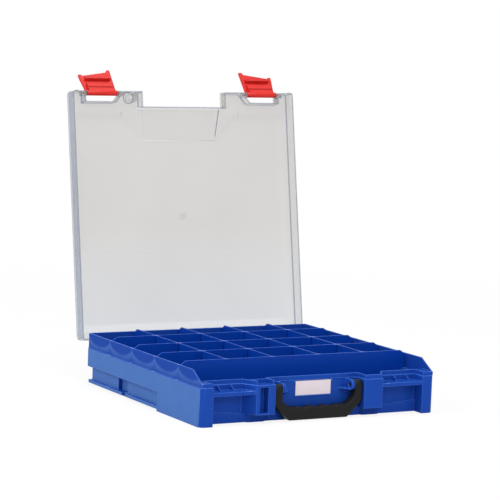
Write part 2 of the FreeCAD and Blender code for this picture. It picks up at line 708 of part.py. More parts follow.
def build_latch(label, sign):
    latch = Piece(label)
    axis_y = front + latch_axis_y
    plate_front = axis_y - latch_hub
    plate_back = plate_front + latch_plate
    first = left + latch_edge
    low, high = sorted((first * sign, (first + latch_wide) * sign), key=lambda s: s.value)
    tip = latch_axis_z - latch_long
    groove_top = ledge_high + loose_fit * 2
    hook_top = ledge_low - loose_fit
    latch.pad("plate", "side", [box(plate_front, tip, plate_back, latch_axis_z)], low, high)
    latch.pad("hub", "side", [(axis_y, latch_axis_z, latch_hub)], low, high)
    latch.pad("pin", "side", [(axis_y, latch_axis_z, latch_pin)],
              low - latch_pin_long, high + latch_pin_long)
    rib_low, rib_high = low + latch_groove_end, high - latch_groove_end
    inside = plate_back - latch_plate / 2
    hook = [(inside, hook_top - latch_hook_tall), (plate_back, hook_top - latch_hook_tall),
            (plate_back + latch_hook, hook_top - latch_hook_tall / 2),
            (plate_back + latch_hook, hook_top), (inside, hook_top)]
    latch.pad("hook", "side", [hook], rib_low, rib_high)
    block = [(inside, groove_top), (plate_back + latch_block, groove_top),
             (axis_y + latch_hub, latch_axis_z), (inside, latch_axis_z)]
    latch.pad("block", "side", [block], rib_low, rib_high)

    # Free edge slants, longer towards the middle of the case
    inner, outer = (high, low) if sign > 0 else (low, high)
    reach = overrun * sign
    slope = [(outer - reach, tip - overrun), (inner, tip - overrun), (inner, tip),
             (outer, latch_axis_z - latch_short), (outer - reach, latch_axis_z - latch_short)]
    latch.cut("slanted_edge", "front", [slope], plate_front - overrun, plate_back + overrun)
    free = latch_axis_z - latch_short
    shelf = latch_axis_z - latch_flare_drop
    edge = outer - latch_flare * sign
    flare = [(outer + latch_groove_end * sign, shelf), (outer, shelf), (edge, free + latch_horn),
             (edge, free), (outer + latch_groove_end * sign, free)]
    latch.pad("flared_side", "front", [flare], plate_front, plate_back)
    horn_in = [(inner, tip + latch_horn), (inner, tip - latch_horn),
               (inner - latch_horn_wide * sign, tip - latch_horn),
               (inner - (latch_horn_wide + latch_horn) * sign, tip + latch_horn)]
    horn_out = [(edge, free + latch_horn), (edge, free - latch_horn),
                (edge + latch_horn_wide * sign, free - latch_horn),
                (edge + (latch_horn_wide + latch_horn) * sign, free + latch_horn)]
    latch.pad("horns", "front", [horn_in, horn_out], plate_front, plate_back)
    line_low = latch_axis_z - latch_line_drop
    line = box(plate_back + latch_block, line_low, axis_y + latch_hub + latch_line, line_low + latch_line)
    latch.cut("moulded_line", "side", [line], rib_low + latch_line, rib_high - latch_line)
    return latch


def build_handle():
    handle = Piece("carry_handle")
    half = handle_wide / 2
    top = handle_pivot_z + handle_top_round
    grip_top = handle_bottom + grip_tall
    pivot_y = front + handle_pivot_y
    low, high = pivot_y - handle_thick / 2, pivot_y + handle_thick / 2
    outside = [(half, handle_bend), (half, top)]
    inside = [(half - handle_arm, top), (half - handle_arm, handle_bend + handle_arm / 2),
              (half - handle_arm - handle_inner_run, grip_top)]
    right_half = [(half - handle_bend_run, handle_bottom)] + outside + inside
    handle.pad("bow", "front", [right_half + flip(right_half)], low, high)

    def bend_edge(edge):
        """Edges that run through the thickness at the outer bends, the foot and the arm tops."""
        first, last = edge.Vertexes[0].Point, edge.Vertexes[-1].Point
        through = abs(first.x - last.x) < 1e-4 and abs(first.z - last.z) < 1e-4
        low_corner = near(abs(first.x), half - handle_bend_run) and near(first.z, handle_bottom)
        bend = near(abs(first.x), half) and near(first.z, handle_bend)
        inner_bend = near(abs(first.x), half - handle_arm) and not near(first.z, top)
        return through and (low_corner or bend or inner_bend)

    handle.round("bends", handle_round, bend_edge)

    def arm_top_edge(edge):
        """The front and rear edges of the arm tops, rounded about the pivot."""
        first, last = edge.Vertexes[0].Point, edge.Vertexes[-1].Point
        across = abs(first.z - last.z) < 1e-4 and abs(first.y - last.y) < 1e-4
        return across and near(first.z, top) and near(last.z, top)

    handle.round("arm_tops", handle_top_round, arm_top_edge)
    wave_z = grip_top + finger_radius - finger_deep
    waves = [(finger_pitch * step, wave_z, finger_radius) for step in (-1, 0, 1)]
    for number, wave in enumerate(waves):
        handle.cut("finger_wave_%d" % (number + 1), "front", [wave], low - overrun, high + overrun)
    pin = (pivot_y, handle_pivot_z, trunnion_radius)
    arm_in = half - handle_arm
    for word, a, b in (("left", -arm_in - handle_arm / 2, -arm_in + ear_thick),
                       ("right", arm_in - ear_thick, arm_in + handle_arm / 2)):
        handle.pad("trunnion_%s" % word, "side", [pin], a, b)
    return handle


def build_label():
    label = Piece("label_card")
    plan = box(-label_wide / 2, bay_wall - label_thick, label_wide / 2, bay_wall)
    label.pad("card", "top", [plan], label_low, label_low + label_tall)
    return label


def build_hinge_pin(label, place):
    pin = Piece(label)
    long_half = hinge_knuckle / 2 + loose_fit + hinge_lug
    shaft = (rear + hinge_setback, hinge_z, hinge_pin_radius)
    pin.pad("shaft", "side", [shaft], place - long_half, place + long_half)
    return pin


def build_cross_divider(number):
    """A strip from side wall to side wall; the lanes cross it, or end in the front one's rear guides."""
    strip = Piece("cross_divider_%d" % number)
    middle = rear - wall_inset - row_pitch * number
    low_half = tray_side - wall - loose_fit
    high_half = right - wall_inset - wall - loose_fit
    step = skirt_top + loose_fit
    half = [(low_half, floor_thick), (low_half, step), (high_half, step),
            (high_half, wall_top - divider_end_drop),
            (high_half - divider_chamfer, divider_top)]
    strip.pad("web", "front", [half + flip(half)], middle - divider_thick / 2, middle + divider_thick / 2)
    front_strip = number == ROWS
    knot_front = middle if front_strip else middle - knot_thick / 2
    slot_front = middle + divider_thick / 2 if front_strip else middle - knot_thick
    slot_foot = floor_thick if front_strip else divider_half
    knots = []
    slots = []
    for share in COLUMN_SHARES:
        x = column_pitch * share
        knots.append(box(x - knot_long / 2, knot_front, x + knot_long / 2, middle + knot_thick / 2))
        gap = divider_thick / 2 + loose_fit
        slots.append(box(x - gap, slot_front, x + gap, middle + knot_thick))
    strip.pad("knots", "top", knots, floor_thick, divider_top)
    strip.cut("slots", "top", slots, slot_foot, divider_top + overrun)
    return strip


def build_lane_divider(number, share):
    """A strip from the rear wall to the front row, slotted from below at each cross divider."""
    strip = Piece("lane_divider_%d" % number)
    middle = column_pitch * share
    tail_low = tray_rear - wall - loose_fit
    tail_high = rear - wall_inset - wall - loose_fit
    nose = rear - wall_inset - row_pitch * ROWS + divider_thick / 2 + loose_fit
    step = skirt_top + loose_fit
    side = [(nose, floor_thick), (tail_low, floor_thick), (tail_low, step), (tail_high, step),
            (tail_high, wall_top - divider_end_drop), (tail_high - divider_chamfer, divider_top),
            (nose, divider_top)]
    strip.pad("web", "side", [side], middle - divider_thick / 2, middle + divider_thick / 2)
    slots = []
    for row in range(1, ROWS):
        place = rear - wall_inset - row_pitch * row
        gap = knot_thick / 2 + loose_fit
        slots.append(box(place - gap, floor_thick - overrun, place + gap, divider_half + loose_fit))
    strip.cut("slots", "side", slots, middle - divider_thick, middle + divider_thick)
    return strip


def turned(axis_y, axis_z, degrees):
    """A turn about a line along X through the given point."""
    spin = FreeCAD.Rotation(FreeCAD.Vector(1, 0, 0), degrees)
    return FreeCAD.Placement(FreeCAD.Vector(0, 0, 0), spin, FreeCAD.Vector(0, axis_y.value, axis_z.value))


pieces = [
    build_case_base(),
    build_lid(),
    build_latch("latch_left", 1),
    build_latch("latch_right", -1),
    build_handle(),
    build_label(),
    build_hinge_pin("hinge_pin_left", -hinge_place),
    build_hinge_pin("hinge_pin_right", hinge_place),
]
pieces += [build_cross_divider(number) for number in (1, 2, 3, 4)]
pieces += [build_lane_divider(number + 1, share) for number, share in enumerate(COLUMN_SHARES)]

# The lid stands open, and each latch is swung out past the lid's plane
lid_turn = turned(rear + hinge_setback, hinge_z, -LID_OPEN)
latch_turn = turned(front + latch_axis_y, latch_axis_z, -LATCH_OPEN)
for piece in pieces:
    if piece.body.Label == "lid":
        piece.body.Placement = lid_turn
    elif piece.body.Label.startswith("latch"):
        piece.body.Placement = lid_turn.multiply(latch_turn)
doc.recompute()

for item in doc.Objects:
    if "Invalid" in item.State or "Error" in item.State:
        raise RuntimeError("%s failed: %s" % (item.Name, item.State))
for piece in pieces:
    shape = piece.body.Shape
    if shape.isNull() or not shape.isValid() or not shape.Solids:
        raise RuntimeError("%s is not a sound solid" % piece.body.Label)

os.makedirs("parts", exist_ok=True)
for piece in pieces:
    shape = piece.body.Shape
    shape.exportStep("parts/%s.step" % piece.body.Label)
    spans = shape.BoundBox
    print("%s solids %d volume %.1f box %.1f %.1f %.1f .. %.1f %.1f %.1f" % (
        piece.body.Label, len(shape.Solids), shape.Volume,
        spans.XMin, spans.YMin, spans.ZMin, spans.XMax, spans.YMax, spans.ZMax))
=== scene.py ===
"""Looks of the storage case: finishes for its solids, a few fine pieces and the stage."""

import math

import bmesh
import bpy
from bpy.props import FloatProperty, FloatVectorProperty, PointerProperty
from mathutils import Matrix, Vector


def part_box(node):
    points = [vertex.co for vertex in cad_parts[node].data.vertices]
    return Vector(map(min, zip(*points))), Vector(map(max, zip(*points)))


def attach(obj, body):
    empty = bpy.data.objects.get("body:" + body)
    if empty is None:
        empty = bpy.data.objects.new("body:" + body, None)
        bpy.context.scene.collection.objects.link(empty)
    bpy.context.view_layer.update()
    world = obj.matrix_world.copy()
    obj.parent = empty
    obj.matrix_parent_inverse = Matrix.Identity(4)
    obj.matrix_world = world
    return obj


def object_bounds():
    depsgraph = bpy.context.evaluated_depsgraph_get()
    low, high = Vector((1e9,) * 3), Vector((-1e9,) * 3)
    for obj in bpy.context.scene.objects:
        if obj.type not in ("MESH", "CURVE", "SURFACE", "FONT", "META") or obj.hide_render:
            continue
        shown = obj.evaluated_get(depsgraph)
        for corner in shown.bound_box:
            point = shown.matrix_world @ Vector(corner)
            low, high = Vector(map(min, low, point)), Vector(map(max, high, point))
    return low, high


bl_info = {
    "name": "Storage case",
    "version": (1, 0, 0),
    "blender": (4, 5, 0),
    "location": "View3D > Sidebar > Storage case",
    "description": "Dresses the solids of a lidded storage case and sets its stage",
    "category": "Object",
}

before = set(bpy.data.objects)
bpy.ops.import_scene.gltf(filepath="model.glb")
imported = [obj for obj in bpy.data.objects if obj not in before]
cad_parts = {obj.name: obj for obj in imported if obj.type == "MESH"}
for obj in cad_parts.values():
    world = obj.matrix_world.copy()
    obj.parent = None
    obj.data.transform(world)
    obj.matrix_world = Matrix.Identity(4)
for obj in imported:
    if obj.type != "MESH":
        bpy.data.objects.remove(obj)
CAD_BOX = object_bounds()

DIVIDERS = sorted(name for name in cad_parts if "divider" in name)
LATCHES = ("latch_left", "latch_right")
PINS = ("hinge_pin_left", "hinge_pin_right")

# Places on the tray, in metres, that its finish follows
OUTSIDE = 0.14
SKIRT_TOP = 0.0485
WALL_TOP = 0.068

# Sink marks, painted as paler and darker reflections: how high each one reaches and how far it
# falls, in shares of the upper wall
SINK_TOP = 0.96
SINK_FALL = 0.66


def middle(node, axis):
    """Where a node's middle lies along an axis."""
    low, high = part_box(node)
    return (low[axis] + high[axis]) / 2


# The strips from side to side, and those from the rear to the front row
ROW_PLACE = middle("cross_divider_1", 1)
ROW_PITCH = middle("cross_divider_2", 1) - ROW_PLACE
LANE_PLACE = middle("lane_divider_1", 0)
LANE_PITCH = middle("lane_divider_2", 0) - LANE_PLACE

# The lid's panel, in metres, whose creases stay as clear as the panel
PANEL_HALF = 0.13
PANEL_FOOT = 0.10
PANEL_TOP = 0.365

# The picture's width in pixels, the sensor's in millimetres, and spots of the lid in the picture
PICTURE = 500
SENSOR = 36.0
GATE_SPOT = (183.0, 216.0)
RAMP_SPOTS = ((218.6, 109.5), (214.8, 136.0))

# Rounded edges: the gap that is welded first, angles in degrees, and steps of the round
WELD_GAP = 0.000005
FLAT_ANGLE = 0.6
CREASE = 40.0
LID_CREASE = 75.0
EDGE_STEPS = 2

# Spots of each kind of mark in one metre
FLOW_CLOUD = 14.0
FLOW_STREAK = 45.0
SCUFF = 230.0
MOTTLE = 60.0
EDGE_RUB = 120.0
LID_CLOUD = 9.0
LID_EDGE_CLOUD = 40.0
LATCH_CLOUD = 60.0
LATCH_RUB = 160.0
LATCH_EDGE_CLOUD = 90.0
HANDLE_GRAIN = 1500.0
HANDLE_CLOUD = 25.0
CARD_FIBRE = 900.0
CARD_CLOUD = 60.0
PIN_LINE = 40.0

# Depth of the grain, depth of the pins' lines and width of the card's rim of painted shade, in
# metres
GRAIN_DEPTH = 0.0002
LINE_DEPTH = 0.0001
CARD_RIM = 0.0006

# Colours that are no property
# The grey of the painted shade along the label card's edges
RIM_SHADE_GREY = (0.30, 0.31, 0.36, 1.0)
DARK_STEEL = (0.42, 0.43, 0.45, 1.0)
PALE_STEEL = (0.62, 0.63, 0.65, 1.0)
WHITE = (1.0, 1.0, 1.0, 1.0)

# The lid's marks: corners of the round one, and shares of their own widths and heights
GATE_CORNERS = 40
GATE_TAPER = 0.9
GATE_RIM = 0.4
GATE_DISH = 0.4
GATE_LIFT = 0.45
RAMP_ROUND = 0.2
RAMP_LIFT = 0.4

# The floor's half width and drop, its share of white by the case, and where it is all white
FLOOR_HALF = 60.0
FLOOR_DROP = 0.0002
FLOOR_GLOW = 0.86
FLOOR_REACH = 1.6

# The lamps: their width, the point they aim at, and their places
LAMP_WIDE = 1.6
LAMP_AIM = (0.0, 0.0, 0.15)
KEY_PLACE = (-2.1, 0.2, 1.5)
FILL_PLACE = (-0.3, -2.3, 1.7)
TOP_PLACE = (0.2, -0.5, 2.4)


class Value:
    """A number that changes over a surface. Sums on it add Math nodes."""

    def __init__(self, finish, socket):
        self.finish = finish
        self.socket = socket

    def maths(self, operation, first, second=None):
        sockets = {0: first}
        if second is not None:
            sockets[1] = second
        node = self.finish.node("ShaderNodeMath", {"operation": operation}, sockets)
        return Value(self.finish, node.outputs[0])

    def __add__(self, other):
        return self.maths("ADD", self, other)

    def __radd__(self, other):
        return self.maths("ADD", other, self)

    def __sub__(self, other):
        return self.maths("SUBTRACT", self, other)

    def __rsub__(self, other):
        return self.maths("SUBTRACT", other, self)

    def __mul__(self, other):
        return self.maths("MULTIPLY", self, other)

    def __rmul__(self, other):
        return self.maths("MULTIPLY", other, self)

    def __truediv__(self, other):
        return self.maths("DIVIDE", self, other)

    def __pow__(self, other):
        return self.maths("POWER", self, other)

    def __abs__(self):
        return self.maths("ABSOLUTE", self)

    def part(self):
        return self.maths("FRACT", self)

    def above(self, limit):
        return self.maths("GREATER_THAN", self, limit)

    def most(self, other):
        return self.maths("MAXIMUM", self, other)


class Finish:
    """One material, or the sky: its nodes, and the shader that they feed."""

    def __init__(self, name, sky=None):
        if sky:
            self.tree = sky
        else:
            self.material = bpy.data.materials.new(name)
            self.material.use_nodes = True
            self.tree = self.material.node_tree
        self.tree.nodes.clear()
        kind = "ShaderNodeOutputWorld" if sky else "ShaderNodeOutputMaterial"
        self.output = self.tree.nodes.new(kind)

    def node(self, kind, settings=None, sockets=None):
        """Adds a node, sets it, then gives its sockets their values or links."""
        node = self.tree.nodes.new(kind)
        for name, setting in (settings or {}).items():
            if name == "stops":
                self.stops(node.color_ramp, setting)
            else:
                setattr(node, name, setting)
        for name, value in (sockets or {}).items():
            if isinstance(value, Value):
                value = value.socket
            if isinstance(value, bpy.types.NodeSocket):
                self.tree.links.new(value, node.inputs[name])
            else:
                node.inputs[name].default_value = value
        return node

    def stops(self, ramp, stops):
        while len(ramp.elements) < len(stops):
            ramp.elements.new(1.0)
        for element, (place, shade) in zip(ramp.elements, stops):
            element.position = place
            element.color = (shade, shade, shade, 1.0)

    def place(self, centre=(0.0, 0.0, 0.0), stretch=(1.0, 1.0, 1.0)):
        """Object coordinates, centred on a point and stretched."""
        coordinates = self.node("ShaderNodeTexCoord")
        mapping = self.node("ShaderNodeMapping", {"vector_type": "TEXTURE"}, {
            "Vector": coordinates.outputs["Object"],
            "Location": centre,
            "Scale": stretch,
        })
        return mapping.outputs[0]

    def along(self, place):
        parts = self.node("ShaderNodeSeparateXYZ", None, {0: place})
        return [Value(self, socket) for socket in parts.outputs]

    def noise(self, place, scale, detail=2.0, roughness=0.5):
        node = self.node("ShaderNodeTexNoise", None, {
            "Vector": place, "Scale": scale, "Detail": detail, "Roughness": roughness,
        })
        return Value(self, node.outputs[0])

    def ramp(self, value, stops):
        node = self.node("ShaderNodeValToRGB", {"stops": stops}, {0: value})
        return Value(self, node.outputs[0])

    def facing(self):
        """The surface's own direction, in the object's frame."""
        coordinates = self.node("ShaderNodeTexCoord")
        return self.along(coordinates.outputs["Normal"])

    def mix(self, share, first, second):
        node = self.node("ShaderNodeMix", {"data_type": "RGBA"}, {0: share, 6: first, 7: second})
        return node.outputs[2]

    def bump(self, height, strength, distance):
        node = self.node("ShaderNodeBump", None, {
            "Height": height, "Strength": strength, "Distance": distance,
        })
        return node.outputs[0]

    def shade(self, sockets):
        shader = self.node("ShaderNodeBsdfPrincipled", None, sockets)
        self.tree.links.new(shader.outputs[0], self.output.inputs[0])
        return self.material


def colour(value, alpha=1.0):
    return (value[0], value[1], value[2], alpha)


def blue_plastic(looks, name, tint):
    """Moulded blue plastic: flow marks, fine grain and scuffed spots."""
    finish = Finish(name)
    place = finish.place()
    cloud = finish.noise(place, FLOW_CLOUD, 3.0)
    streak = finish.noise(finish.place(stretch=(1.0, 1.0, 0.2)), FLOW_STREAK, 2.0)
    grain = finish.noise(place, looks.grain_scale, 2.0)
    scuff = finish.ramp(finish.noise(place, SCUFF, 4.0, 0.65), ((0.63, 0.0), (0.78, 1.0)))
    dark = [0.88 * part for part in tint]
    pale = [0.92 * part + 0.03 for part in tint]
    base = finish.mix(0.5 * cloud + 0.35 * streak, colour(dark), colour(tint))
    base = finish.mix(0.2 * scuff, base, colour(pale))
    rough = 0.27 + 0.10 * cloud + 0.08 * grain + 0.08 * scuff
    return finish, base, rough, grain


def shell_plastic(looks):
    """The tray's blue: eroded grain outside the skirt with a painted sheen that makes it paler,
    and sink marks behind the divider ends.
    """
    finish, base, rough, grain = blue_plastic(looks, "blue_shell_plastic", looks.shell_colour)
    across, deep, up = finish.along(finish.place())
    outside = (finish.facing()[0] * across).above(OUTSIDE)
    low = 1 - up.above(SKIRT_TOP)
    skirt = outside * low
    wall = outside * (1 - low)
    between = nearest(deep, ROW_PLACE, ROW_PITCH) * 2
    rise = (up - SKIRT_TOP) / (WALL_TOP - SKIRT_TOP)
    lobe = SINK_TOP - SINK_FALL * (1 - (1 - between) ** 2.0) ** 0.5
    sink = finish.ramp(lobe - rise + 0.5, ((0.40, 0.0), (0.58, 1.0), (1.0, 0.3)))
    mottle = finish.noise(finish.place(), MOTTLE, 2.0)
    # Painted sheen: the outer skirt is mixed towards a paler blue; its eroded grain only raises
    # the roughness
    base = finish.mix(skirt * (0.62 + 0.2 * mottle), base, colour(looks.pale_sheen_colour))
    deeper = [0.7 * part for part in looks.shell_colour]
    # Painted reflection of the sink marks: the upper wall is darkened outside each lobe and made
    # paler inside it
    base = finish.mix(wall * (1 - sink) * 0.5, base, colour(deeper))
    base = finish.mix(wall * sink * (0.38 - 0.24 * between), base, colour(looks.pale_sheen_colour))
    return finish.shade({
        "Base Color": base,
        "Roughness": rough + 0.14 * skirt + 0.3 * wall * (1 - sink),
        "Specular IOR Level": 0.07,
        "Normal": finish.bump(grain, 0.16, GRAIN_DEPTH),
    })


def strip_plastic(looks):
    """The dividers' blue, a little smoother than the tray."""
    finish, base, rough, grain = blue_plastic(looks, "blue_strip_plastic", looks.divider_colour)
    return finish.shade({
        "Base Color": base,
        "Roughness": rough,
        "Specular IOR Level": 0.08,
        "Normal": finish.bump(grain, 0.12, GRAIN_DEPTH),
    })


def nearest(value, first, pitch):
    """How far the next one of a row of places is, in shares of their pitch."""
    return abs(((value - first) / pitch + 0.5).part() - 0.5)


def pale_edge(looks, name, tint, sides):
    """A rounded edge of blue plastic, with a painted highlight on top and where strips cross."""
    finish = Finish(name)
    across, deep, _ = finish.along(finish.place())
    rub = finish.noise(finish.place(), EDGE_RUB, 3.0)
    upward = finish.ramp(finish.facing()[2], ((0.1, sides), (0.6, 1.0)))
    row = nearest(deep, ROW_PLACE, ROW_PITCH)
    lane = nearest(across, LANE_PLACE, LANE_PITCH)
    cross = finish.ramp(row.most(lane), ((0.02, 1.0), (0.07, 0.0))) * upward.above(0.8)
    # Painted highlight: upward-facing edges are mixed towards a paler blue, varied by noise
    base = finish.mix(upward * (0.55 + 0.45 * rub), colour(tint), colour(looks.edge_highlight_colour))
    # Painted highlight where the strips cross
    base = finish.mix(0.7 * cross, base, colour(looks.crossing_highlight_colour))
    return finish.shade({
        "Base Color": base,
        "Roughness": 0.20 + 0.15 * rub,
        "Specular IOR Level": 0.25,
    })


def clear_plastic(looks, name, haze):
    """Clear plastic with a little haze and faint flow clouds."""
    finish = Finish(name)
    place = finish.place()
    cloud = finish.noise(place, LID_CLOUD, 3.0)
    grain = finish.noise(place, looks.grain_scale, 2.0)
    across, _, up = finish.along(place)
    # Painted light from the blue tray: towards its foot the lid is mixed to a cooler, paler tone
    glow = finish.ramp(up / CAD_BOX[1][2], ((0.16, 1.0), (0.5, 0.0)))
    wall = (finish.facing()[0] * across).above(OUTSIDE)
    base = finish.mix(glow, colour(looks.lid_colour), colour(looks.lid_tray_light_colour))
    base = finish.mix(0.8 * wall, base, colour(looks.lid_edge_colour))
    return finish.shade({
        "Base Color": base,
        "Roughness": 0.18 + 0.08 * cloud + 0.03 * grain,
        "Specular IOR Level": 0.2,
        "Alpha": haze + 0.06 * cloud + 0.15 * wall,
        "Normal": finish.bump(cloud, 0.05, GRAIN_DEPTH),
    })


def clear_edge(looks, name, panel_share):
    """Edges of the clear lid, where the plastic is seen in its length and looks blue-grey."""
    finish = Finish(name)
    place = finish.place()
    cloud = finish.noise(place, LID_EDGE_CLOUD, 2.0)
    across, _, up = finish.along(place)
    panel = panel_share * (1 - abs(across).above(PANEL_HALF))
    panel = panel * (1 - up.above(PANEL_TOP)) * up.above(PANEL_FOOT)
    dark = [0.8 * part for part in looks.lid_edge_colour]
    base = finish.mix(cloud, colour(dark), colour(looks.lid_edge_colour))
    base = finish.mix(panel, base, colour(looks.lid_colour))
    return finish.shade({
        "Base Color": base,
        "Roughness": 0.16 + 0.12 * cloud,
        "Specular IOR Level": 0.3,
        "Alpha": (0.60 + 0.2 * cloud) * (1 - panel) + 0.45 * looks.lid_haze * panel,
    })


def red_plastic(looks):
    """Glossy red latch plastic with fine rub marks."""
    finish = Finish("red_latch_plastic")
    place = finish.place()
    cloud = finish.noise(place, LATCH_CLOUD, 2.0)
    grain = finish.noise(place, looks.grain_scale, 2.0)
    rub = finish.noise(finish.place(stretch=(1.0, 0.1, 0.1)), LATCH_RUB, 3.0)
    rub = finish.ramp(rub, ((0.6, 0.0), (0.8, 1.0)))
    tint = looks.latch_colour
    dark = [0.82 * part for part in tint]
    base = finish.mix(cloud, colour(dark), colour(tint))
    return finish.shade({
        "Base Color": base,
        "Roughness": 0.28 + 0.08 * cloud + 0.16 * rub,
        "Specular IOR Level": 0.3,
        "Normal": finish.bump(grain, 0.10, GRAIN_DEPTH),
    })


def red_edge(looks):
    """Rounded edges of the latches, with painted shade that makes the red deeper."""
    finish = Finish("red_latch_edge")
    cloud = finish.noise(finish.place(), LATCH_EDGE_CLOUD, 2.0)
    # Painted shade: the edge faces take a darker red
    deep = [0.45 * part for part in looks.latch_colour]
    base = finish.mix(0.4 * cloud, colour(deep), colour(looks.latch_colour))
    return finish.shade({
        "Base Color": base,
        "Roughness": 0.26 + 0.10 * cloud,
        "Specular IOR Level": 0.2,
    })


def black_plastic(looks):
    """Matt black handle plastic with a spark-eroded grain, smoother where fingers rub."""
    finish = Finish("black_handle_plastic")
    place = finish.place()
    grain = finish.noise(place, HANDLE_GRAIN, 3.0)
    cloud = finish.noise(place, HANDLE_CLOUD, 2.0)
    tint = looks.handle_colour
    worn = [1.6 * part + 0.004 for part in tint]
    base = finish.mix(0.6 * cloud, colour(tint), colour(worn))
    return finish.shade({
        "Base Color": base,
        "Roughness": 0.40 + 0.14 * grain + 0.10 * cloud,
        "Specular IOR Level": 0.16,
        "Normal": finish.bump(grain, 0.25, GRAIN_DEPTH),
    })


def card(looks):
    """Pale card with paper fibres, and painted shade as a thin grey rim along its edges."""
    finish = Finish("label_card_stock")
    low, high = (Vector(corner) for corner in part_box("label_card"))
    half = (high - low) / 2
    place = finish.place(centre=low + half)
    across, _, up = finish.along(place)
    fibre = finish.noise(finish.place(stretch=(1.0, 1.0, 0.3)), CARD_FIBRE, 4.0, 0.6)
    cloud = finish.noise(place, CARD_CLOUD, 2.0)
    # Painted shade: a thin grey rim along the card's edges
    rim = abs(across).above(half.x - CARD_RIM).most(abs(up).above(half.z - CARD_RIM))
    tint = looks.label_colour
    dull = [0.90 * part for part in tint]
    base = finish.mix(0.5 * fibre + 0.4 * cloud, colour(tint), colour(dull))
    base = finish.mix(0.75 * rim, base, RIM_SHADE_GREY)
    return finish.shade({
        "Base Color": base,
        "Roughness": 0.52 + 0.2 * fibre,
        "Specular IOR Level": 0.4,
        "Normal": finish.bump(fibre, 0.12, GRAIN_DEPTH),
    })


def steel():
    """Drawn steel wire with fine lines along the pin."""
    finish = Finish("drawn_steel")
    lines = finish.noise(finish.place(stretch=(1.0, 0.02, 0.02)), PIN_LINE, 3.0)
    base = finish.mix(lines, DARK_STEEL, PALE_STEEL)
    return finish.shade({
        "Base Color": base,
        "Metallic": 1.0,
        "Roughness": 0.22 + 0.2 * lines,
        "Normal": finish.bump(lines, 0.1, LINE_DEPTH),
    })


def dress(node, material, edge=0.0, edge_material=None, crease=CREASE, merge=False):
    """Gives a solid its finish, and rounds its edges as a mould does."""
    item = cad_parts[node]
    item.data.materials.clear()
    item.data.materials.append(material)
    if edge_material:
        item.data.materials.append(edge_material)
    if edge:
        weld = item.modifiers.new("weld", "WELD")
        weld.merge_threshold = WELD_GAP
        if merge:
            flat = item.modifiers.new("flat", "DECIMATE")
            flat.decimate_type = "DISSOLVE"
            flat.angle_limit = math.radians(FLAT_ANGLE)
        bevel = item.modifiers.new("edge", "BEVEL")
        bevel.width = edge
        bevel.segments = EDGE_STEPS
        bevel.profile = 0.5
        bevel.limit_method = "ANGLE"
        bevel.angle_limit = math.radians(crease)
        bevel.material = 1 if edge_material else -1
        bevel.harden_normals = True
        bevel.use_clamp_overlap = False
        bevel.loop_slide = False


def view_axes(stage):
    """The view's right, up and back."""
    back = -Vector(stage.camera_look).normalized()
    right = Vector(stage.camera_up).cross(back).normalized()
    return right, back.cross(right), back


def on_lid(stage, spot):
    """The place and direction of the lid's surface behind a spot of the picture."""
    right, up, back = view_axes(stage)
    across = (spot[0] / PICTURE - 0.5) * SENSOR
    high = (0.5 - spot[1] / PICTURE) * SENSOR
    ray = across * right + high * up - stage.camera_lens * back
    depsgraph = bpy.context.evaluated_depsgraph_get()
    found, place, normal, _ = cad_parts["lid"].ray_cast(
        Vector(stage.camera_place), ray.normalized(), depsgraph=depsgraph)
    if not found:
        raise RuntimeError("no lid behind the spot")
    return place, normal


def add(form, name, material):
    """Makes an object of a finished form."""
    mesh = bpy.data.meshes.new(name)
    form.to_mesh(mesh)
    form.free()
    mesh.materials.append(material)
    item = bpy.data.objects.new(name, mesh)
    bpy.context.scene.collection.objects.link(item)
    return item


def keep(form, name, material):
    """Makes a finished form a piece of the lid."""
    bmesh.ops.recalc_face_normals(form, faces=form.faces)
    piece = add(form, name, material)
    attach(piece, "lid")


